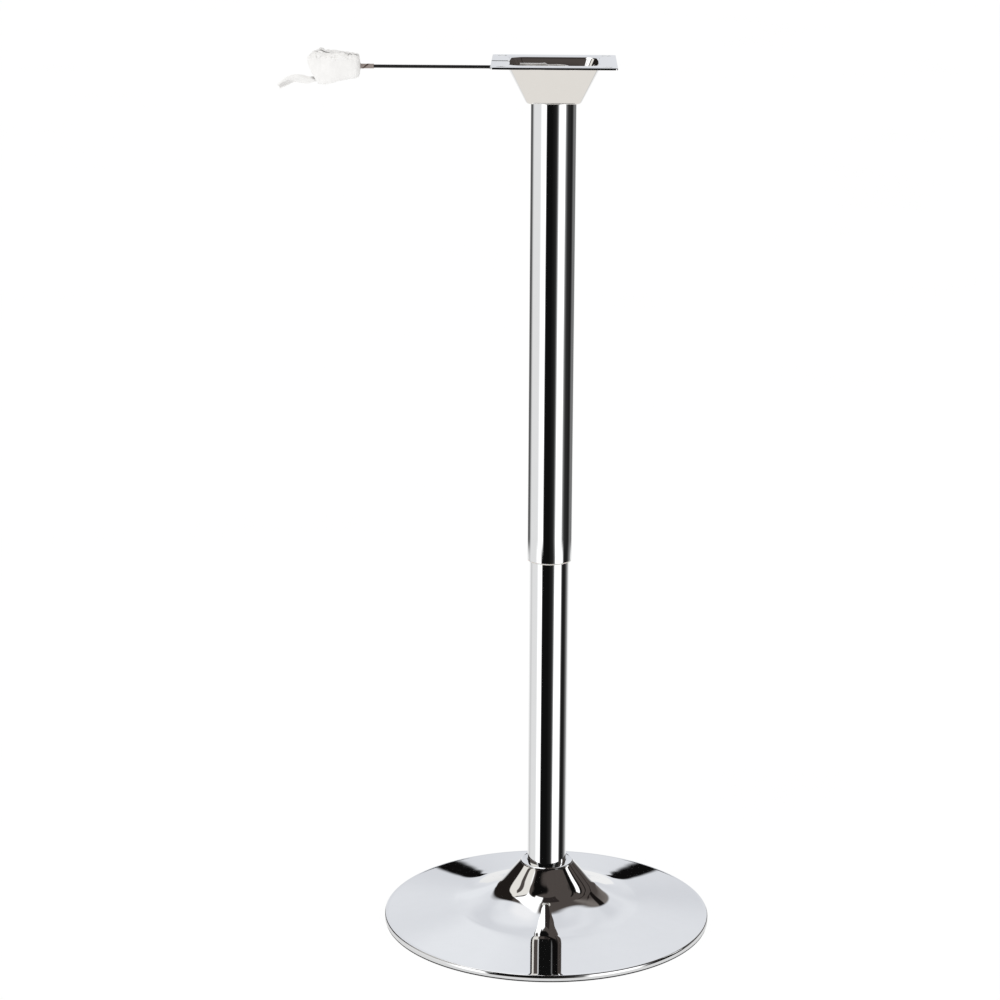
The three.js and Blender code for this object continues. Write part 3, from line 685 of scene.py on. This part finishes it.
def make_looks():
    """The material of each slot."""
    return {
        "chrome": chrome_look("mirror_chrome", (0.955, 0.96, 0.965), 0.02),
        "plate_chrome": chrome_look("pressed_chrome", (0.95, 0.95, 0.95), 0.04),
        "bare_steel": plain_look(
            "zinc_plate", ((0.60, 0.58, 0.55), (0.74, 0.72, 0.69)), (0.24, 0.38), 160.0, (0.15, 0.0002),
            Metallic=0.45,
        ),
        "cast_iron": plain_look(
            "cast_iron", ((0.03, 0.03, 0.032), (0.07, 0.07, 0.072)), (0.6, 0.85), 220.0, (0.5, 0.0006),
            Metallic=1.0,
        ),
        "black_steel": plain_look(
            "black_paint", ((0.006, 0.006, 0.006), (0.014, 0.014, 0.014)), (0.28, 0.42), 300.0, (0.2, 0.0001)
        ),
        "black_plastic": plain_look(
            "moulded_black", ((0.012, 0.012, 0.012), (0.022, 0.022, 0.022)), (0.4, 0.55), 500.0, (0.3, 0.0001)
        ),
        "pale_nylon": plain_look(
            "pale_nylon", ((0.62, 0.61, 0.58), (0.72, 0.71, 0.68)), (0.35, 0.5), 240.0, (0.15, 0.0001),
            Subsurface_Weight=0.1, Subsurface_Scale=0.001,
        ),
        "red_nylon": plain_look(
            "red_nylon", ((0.30, 0.02, 0.015), (0.42, 0.03, 0.02)), (0.3, 0.45), 260.0, (0.15, 0.0001)
        ),
        "black_rubber": plain_look(
            "black_rubber", ((0.014, 0.014, 0.014), (0.03, 0.03, 0.03)), (0.75, 0.9), 320.0, (0.4, 0.0002)
        ),
        "brown_rubber": plain_look(
            "brown_rubber", ((0.05, 0.032, 0.023), (0.10, 0.066, 0.05)), (0.45, 0.65), 380.0, (0.4, 0.0002)
        ),
        "white_foam": foam_look(),
    }


def dress_cad_nodes(looks):
    """Every CAD node gets the look of its material slot."""
    for part in frame["record"]["subparts"]:
        node = nodes[part["node"]]
        node.data.materials.clear()
        node.data.materials.append(looks[part["material_slot"]])


# ---------------------------------------------------------------- round pieces

DISH_HOLE = 25.5 * MM
DISH_SHEET = 1.5 * MM
SHOULDER_TOP = 31.7 * MM  # where the flat top of the neck ends
SHOULDER_SIDE = (33.8 * MM, 79 * MM)  # where its rounded edge ends
DISH_LIP = 0.9 * MM
DISH_CROWN = 1.5 * MM  # radius of the rim's rounded top
# Radius and height of the dish's upper face, from the shoulder out to the rim, in millimetres.
DISH_BELL = [
    (33.8, 79), (36.6, 75.5), (47.5, 62.5), (57, 51), (62, 46.2), (67, 42.9), (75, 38.6),
    (85, 33.7), (95, 29.5), (105, 25.8), (115, 22.9), (125, 20.7), (150, 17.1), (180, 13), (208.5, 9.2),
]
BELL_STEPS = 10  # pieces of the smooth line between each two of its points


def spline(points, steps):
    """A smooth line through points, with steps pieces between each two."""
    ends = [2 * points[0] - points[1], *points, 2 * points[-1] - points[-2]]
    line = []
    for a, b, c, d in zip(ends, ends[1:], ends[2:], ends[3:]):
        for k in range(steps):
            t = k / steps
            square = (2 * a - 5 * b + 4 * c - d) * t * t
            cube = (3 * b - a - 3 * c + d) * t * t * t
            line.append(0.5 * (2 * b + (c - a) * t + square + cube))
    return [*line, points[-1]]


def make_dish(looks):
    low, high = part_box("base_dish")
    bell = spline([Vector(p) * MM for p in DISH_BELL], BELL_STEPS)
    top, rim, rim_top = high.z, high.x, bell[-1].y
    crown = Vector((rim - DISH_CROWN, rim_top - DISH_CROWN))
    start = Vector((SHOULDER_TOP, top))
    corner = Vector((SHOULDER_SIDE[0], top - 0.4 * MM))
    end = Vector((SHOULDER_SIDE[0] + 0.4 * MM, SHOULDER_SIDE[1]))
    outer = [(DISH_HOLE, top), tuple(start)]
    outer += [tuple(bend(start, corner, end, k / 6)) for k in range(1, 7)]
    outer += [tuple(p) for p in bell[3:]]  # the rounded edge takes the place of the first few
    for k in range(9):
        angle = math.pi / 2 * (1 - k / 8)
        outer.append((crown.x + DISH_CROWN * math.cos(angle), crown.y + DISH_CROWN * math.sin(angle)))
    outer += [(rim, low.z + DISH_LIP), (rim - DISH_LIP / 2, low.z), (rim - DISH_SHEET, low.z)]
    under = [(rim - DISH_SHEET, rim_top - 2.4 * MM)]
    under += [(p.x - 0.6 * DISH_SHEET, p.y - DISH_SHEET) for p in reversed(bell[2:-2])]
    under.append((DISH_HOLE, top - 2 * MM))
    made = turned("chrome_dish", outer + under, LARGE_ROUND)
    placed(made, "base_dish", looks, "chrome")


def box_outline(inner, outer, bottom, top):
    return [(inner, bottom), (outer, bottom), (outer, top), (inner, top)]


def make_tubes(looks):
    for node, name, wall in (
        ("column_tube", "chrome_column", 2 * MM),
        ("sleeve_tube", "chrome_sleeve", 1.2 * MM),
    ):
        low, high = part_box(node)
        outline = box_outline(high.x - wall, high.x, low.z, high.z)
        placed(turned(name, filleted(outline, 0.35 * MM), LARGE_ROUND), node, looks, "chrome")


def make_glide_ring(looks):
    """A ring inside the sleeve's lower end, with a lip that shows below it."""
    low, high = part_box("sleeve_glide_ring")
    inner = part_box("column_tube")[1].x + 0.2 * MM
    body = high.x - 1.3 * MM
    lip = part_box("sleeve_tube")[0].z - 0.1 * MM
    outline = [(inner, low.z), (high.x, low.z), (high.x, lip), (body, lip), (body, high.z), (inner, high.z)]
    placed(turned("glide_ring", filleted(outline, 0.25 * MM)), "sleeve_glide_ring", looks, "pale_nylon")


def make_cover(looks):
    low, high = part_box("floor_cover")
    outline = box_outline(0.1 * MM, high.x, low.z, low.z + 1.6 * MM)
    placed(turned("under_cover", filleted(outline, 0.3 * MM)), "floor_cover", looks, "black_plastic")


# ---------------------------------------------------------------- plate

PLATE_CORNER = 3 * MM
PLATE_SHEET = 2.5 * MM
PLATE_EDGE = 0.5 * MM  # rounding of the plate's edge
CUP_TOP = (56.5 * MM, 53 * MM, 18 * MM)  # half size along X and Y, and corner radius
CUP_BOTTOM = (33 * MM, 31 * MM, 9 * MM)
CUP_WALL = 2.1 * MM
CUP_FLOOR = 2.5 * MM
MOUTH_FLARE = -0.4 * MM
COLLAR_HOLE = 18.2 * MM
SLOT_OFFSET = 64 * MM
SLOT_LENGTH = 11 * MM
SLOT_WIDTH = 6 * MM
LEVER_SLOT_WIDTH = 8.4 * MM
LEVER_SLOT_BOTTOM = 1103.6 * MM
LEVER_SLOT_REACH = 40 * MM


def grown(size, by, corner_by=None):
    """A size with both halves grown, and its corner by as much or by an amount of its own."""
    return (size[0] + by, size[1] + by, size[2] + (by if corner_by is None else corner_by))


def part_way(first, second, t):
    return tuple(a + (b - a) * t for a, b in zip(first, second))


def corner_arc(start, corner, end, steps):
    """Rings through a rounded edge: each is ((half x, half y, corner), z)."""
    rings = []
    for k in range(steps + 1):
        values = [bend(a, b, c, k / steps) for a, b, c in zip(start, corner, end)]
        rings.append((tuple(values[:3]), values[3]))
    return rings


def slot_tool(x, y, low, high):
    outline = [
        p + Vector((x, y))
        for p in rounded_square(SLOT_LENGTH / 2, SLOT_WIDTH / 2, SLOT_WIDTH / 2 - 0.05 * MM, 8, 2)
    ]
    count = len(outline)
    points = [(p.x, p.y, z) for z in (low, high) for p in outline]
    faces = [tuple(reversed(range(count))), tuple(range(count, 2 * count))]
    faces += [(k, (k + 1) % count, count + (k + 1) % count, count + k) for k in range(count)]
    return new_mesh("slot_tool", points, faces)


def block_tool(low, high):
    return new_mesh(
        "block_tool",
        [(x, y, z) for x in (low[0], high[0]) for y in (low[1], high[1]) for z in (low[2], high[2])],
        [(0, 1, 3, 2), (4, 6, 7, 5), (0, 4, 5, 1), (2, 3, 7, 6), (0, 2, 6, 4), (1, 5, 7, 3)],
    )


def plate_rings(half, bottom, top):
    """The plate's section, from its outer edge over the top, down into the cup and back outside."""
    under = top - PLATE_SHEET
    floor = bottom + CUP_FLOOR
    edge = (half, half, PLATE_CORNER)
    inset = grown(edge, -PLATE_EDGE, 0)
    rings = corner_arc((*inset, under), (*edge, under), (*edge, under + PLATE_EDGE), 3)
    rings += corner_arc((*edge, top - PLATE_EDGE), (*edge, top), (*inset, top), 3)

    mouth = grown(CUP_TOP, MOUTH_FLARE, 0)
    inside_top = grown(CUP_TOP, -CUP_WALL)
    inside_low = grown(CUP_BOTTOM, -CUP_WALL)
    wall_top = top - 2 * MM
    wall_high = part_way(inside_low, inside_top, (wall_top - floor) / (top - floor))
    wall_low = part_way(inside_low, inside_top, 0.06)
    rings += corner_arc(
        (*grown(mouth, 0.3 * MM), top), (*grown(inside_top, 0.6 * MM), top), (*wall_high, wall_top), 8
    )
    rings += corner_arc(
        (*wall_low, floor + 2.4 * MM), (*inside_low, floor), (*grown(inside_low, -2.5 * MM), floor), 5
    )
    hole = (COLLAR_HOLE, COLLAR_HOLE, COLLAR_HOLE - 0.01 * MM)
    rings += [(hole, floor), (hole, bottom)]

    outside_low = part_way(CUP_BOTTOM, CUP_TOP, 0.06)
    outside_high = part_way(CUP_BOTTOM, CUP_TOP, 0.97)
    rings += corner_arc(
        (*grown(CUP_BOTTOM, -3 * MM), bottom), (*CUP_BOTTOM, bottom), (*outside_low, bottom + 3 * MM), 6
    )
    rings += corner_arc(
        (*outside_high, under - 1.4 * MM), (*CUP_TOP, under), (*grown(CUP_TOP, 1.2 * MM), under), 6
    )
    return rings


def make_plate(looks):
    low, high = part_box("mounting_plate")
    half, top = high.x, high.z
    rings = plate_rings(half, low.z, top)
    made = ring_loft("pressed_plate", [(rounded_square(*size), z) for size, z in rings])
    tools = [
        slot_tool(sx * SLOT_OFFSET, sy * SLOT_OFFSET, top - PLATE_SHEET - MM, top + MM)
        for sx in (-1, 1)
        for sy in (-1, 1)
    ]
    tools.append(
        block_tool(
            (-half - MM, -LEVER_SLOT_WIDTH / 2, LEVER_SLOT_BOTTOM),
            (-LEVER_SLOT_REACH, LEVER_SLOT_WIDTH / 2, top + MM),
        )
    )
    cut_from(made, *tools)
    placed(smoothed(made, 28), "mounting_plate", looks, "plate_chrome")


def make_small_parts(looks):
    for node, width, slot in (
        ("taper_collar", 0.4 * MM, "bare_steel"),
        ("pivot_bracket", 0.5 * MM, "bare_steel"),
        ("lever_arm", 0.5 * MM, "bare_steel"),
        ("pivot_pin", 0.3 * MM, "bare_steel"),
        ("pivot_clip", 0.12 * MM, "black_steel"),
        ("valve_button", 0.3 * MM, "red_nylon"),
    ):
        placed(eased(node, width), node, looks, slot)


# ---------------------------------------------------------------- lever and its wrap


def along_x(made, z):
    """Turns a piece made about Z to lie along X at a height."""
    made.data.transform(Matrix.Translation((0, 0, z)) @ Matrix.Rotation(math.pi / 2, 4, "Y"))
    return made


def make_rod(looks):
    low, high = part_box("lever_rod")
    radius = (high.z - low.z) / 2
    centre = (high.z + low.z) / 2
    outline = box_outline(0.01 * MM, radius, low.x, high.x)
    made = turned("black_rod", filleted(outline, 0.4 * MM), SMALL_ROUND)
    placed(along_x(made, centre), "lever_rod", looks, "black_steel")


def ridged(point, size):
    """Creases between flat facets, 0 on a crease and up to 1 within a facet."""
    near = noise.voronoi(point / size, distance_metric="DISTANCE")[0]
    return min(1.0, (near[1] - near[0]) * 1.6)


# Sections of the wrap along the rod, in millimetres: place, centre height, half height, half
# width, squareness (2 is round), and how deep its gathers are.
WRAP_ROUTE = [
    (-219.5, 1108.6, 2.5, 2.5, 2, 0.08),
    (-221.5, 1108.6, 2.42, 2.42, 2, 0.03),
    (-229, 1108.6, 2.4, 2.4, 2, 0.02),
    (-235, 1108.6, 2.42, 2.42, 2, 0.03),
    (-236.2, 1108.7, 3.2, 3.2, 2, 0.5),
    (-237.2, 1109.0, 9.5, 9, 2.4, 0.9),
    (-238, 1108.8, 12.8, 13, 3.2, 0.5),
    (-240, 1109.0, 13.9, 16, 5, 0.2),
    (-246, 1109.2, 14.9, 17.4, 6.5, 0),
    (-264, 1108.4, 17.6, 18, 7, 0),
    (-279, 1107.4, 20.2, 17.6, 7, 0),
    (-286, 1107.8, 20.2, 15.6, 6, 0),
    (-290, 1110.4, 17.4, 13, 5, 0),
    (-294, 1113.0, 13.4, 9.5, 4.5, 0),
    (-297.5, 1115, 8.6, 5.5, 4, 0),
    (-300, 1116.5, 4.5, 2, 3, 0),
]
WRAP_TURNS = 1.3
WRAP_START = math.radians(-11)  # where the inner end lies, so that the outer one is on top
WRAP_ACROSS = 260  # squares round the wrap
WRAP_ALONG = 170  # squares along it
FILM = 0.35 * MM


def along_route(route, t):
    """The values at t, 0 to 1 by distance along the sections' outlines."""
    marks = [0.0]
    for a, b in zip(route, route[1:]):
        marks.append(marks[-1] + abs(a[0] - b[0]) + 0.8 * max(abs(a[2] - b[2]), abs(a[3] - b[3])))
    return [float(np.interp(t * marks[-1], marks, column)) for column in zip(*route)]


def wrap_point(u, v, lift=0.0):
    """A point of the wound sheet, in millimetres: u round it, v along it. The layers wind
    outwards, the last tenth is pressed down, and the neck is pleated."""
    x, centre, half_height, half_width, square, gather = along_route(WRAP_ROUTE, v)
    angle = WRAP_START + u * WRAP_TURNS * FULL_TURN
    layer = (u - 0.5) * WRAP_TURNS * 1.1 * min(1.0, max(0.1, (-236 - x) / 4))
    power = 2 / square
    c, s = math.cos(angle), math.sin(angle)
    loose = min(1.0, max(0.0, (-240 - x) / 8)) * max(0.0, (u - 0.9) / 0.1)
    grow = layer + lift - loose * (0.6 + 0.3 * math.sin(0.21 * x + 1.0))
    pleat = gather * (math.sin(angle * 9 + 2 * math.sin(angle * 2)) * 0.6 + math.sin(angle * 17) * 0.4)
    y = (half_width + grow + pleat) * math.copysign(abs(c) ** power, c)
    z = (half_height + grow + pleat) * math.copysign(abs(s) ** power, s)
    return Vector((x, y, centre + z))


def crumple(point):
    """How far the sheet stands out at a point, in millimetres."""
    body = min(1.0, max(0.0, (-238 - point.x) / 6))
    top = min(1.0, max(0.0, (point.z - 1114) / 7))
    soft = noise.noise(point / 15 + Vector((3, 7, 1))) * 0.7
    facets = (ridged(point + Vector((11, 5, 2)), 15) - 0.5) * (0.4 + 3.2 * top)
    fine = (ridged(point + Vector((1, 9, 4)), 7) - 0.5) * (0.15 + 1.5 * top)
    return body * (soft + facets + fine)


def make_wrap(looks):
    points = []
    for j in range(WRAP_ALONG + 1):
        v = j / WRAP_ALONG
        for i in range(WRAP_ACROSS + 1):
            u = i / WRAP_ACROSS
            base = wrap_point(u, v)
            out = wrap_point(u, v, 1.0) - base
            outward = out.normalized() if out.length > 1e-6 else Vector((0, 0, 1))
            points.append((base + outward * crumple(base)) * MM)
    made = new_mesh("foam_wrap", points, sheet_faces(WRAP_ALONG, WRAP_ACROSS))
    thickened(made, FILM, -1)
    placed(made, "knob_wrap", looks, "white_foam", also=("wrap_neck",))


def make_band(looks):
    """A rubber band wound round the gathered neck."""
    low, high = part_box("rubber_band")
    centre = (low.z + high.z) / 2
    strand = 0.27 * MM
    radius = 2.72 * MM
    turns = 9
    steps = turns * 36
    slant = 3.8 * MM  # each turn lies askew by this much either way
    start, end = low.x + slant + strand, high.x - slant - strand
    path = []
    for i in range(steps + 1):
        t = i / steps
        angle = t * turns * FULL_TURN
        x = start + (end - start) * t + slant * math.sin(angle + 0.3 * math.sin(5 * t))
        path.append(Vector((x, -radius * math.cos(angle), centre + radius * math.sin(angle))))
    made = tube_along("wound_band", path, strand, 12)
    placed(made, "rubber_band", looks, "brown_rubber")


# Points of the tail, and its widths at even steps along it, in millimetres.
TAIL_ROUTE = [
    (-286, 0, 1093), (-291, 0, 1092.8), (-300, -0.5, 1091.6), (-308, -1, 1092.6), (-316, -2, 1093.4),
    (-323, -2, 1091.4), (-329.5, -1.5, 1087.4), (-335.5, 0, 1082.6),
]
TAIL_WIDTHS = [6, 6.8, 9.4, 11, 11.6, 11, 9, 7]
TAIL_FILM = 0.5 * MM
TAIL_ACROSS = 20  # squares across the tail


def make_tail(looks):
    """A loose end of the sheet: a strip with curled edges that twists as it goes."""
    centre = spline([Vector(p) for p in TAIL_ROUTE], 12)
    last = len(centre) - 1
    marks = [k / (len(TAIL_WIDTHS) - 1) for k in range(len(TAIL_WIDTHS))]
    points = []
    for i, here in enumerate(centre):
        t = i / last
        ahead = (centre[min(i + 1, last)] - centre[max(i - 1, 0)]).normalized()
        side = ahead.cross(Vector((0, 1, 0))).normalized()
        other = ahead.cross(side)
        turn = 0.3 * math.sin(7.5 * t)
        wide = side * math.cos(turn) + other * math.sin(turn)
        thin = ahead.cross(wide)
        half = float(np.interp(t, marks, TAIL_WIDTHS)) / 2
        for k in range(TAIL_ACROSS + 1):
            s = 2 * k / TAIL_ACROSS - 1
            fold = half * (0.34 * math.sin(2.6 * s + 5 * t) + 0.08 * math.sin(11 * t + 4 * s))
            points.append((here + wide * s * half * 0.94 + thin * fold) * MM)
    made = new_mesh("sheet_tail", points, sheet_faces(last, TAIL_ACROSS))
    thickened(made, TAIL_FILM, 0)
    placed(made, "wrap_tail", looks, "white_foam")


# ---------------------------------------------------------------- the scene

scene = bpy.context.scene
scene.view_settings.view_transform = "Standard"
scene.cycles.max_bounces = 16
scene.cycles.glossy_bounces = 12

make_camera()
make_world()
make_floor()
make_lamp("key", (-1.6, -2.2, 2.6), (0, 0, 0.9), 1.2, 9)
make_lamp("fill", (2.2, -1.0, 1.8), (0, 0, 0.7), 1.6, 3)

looks = make_looks()
dress_cad_nodes(looks)
make_dish(looks)
make_tubes(looks)
make_glide_ring(looks)
make_cover(looks)
make_plate(looks)
make_small_parts(looks)
make_rod(looks)
make_wrap(looks)
make_band(looks)
make_tail(looks)
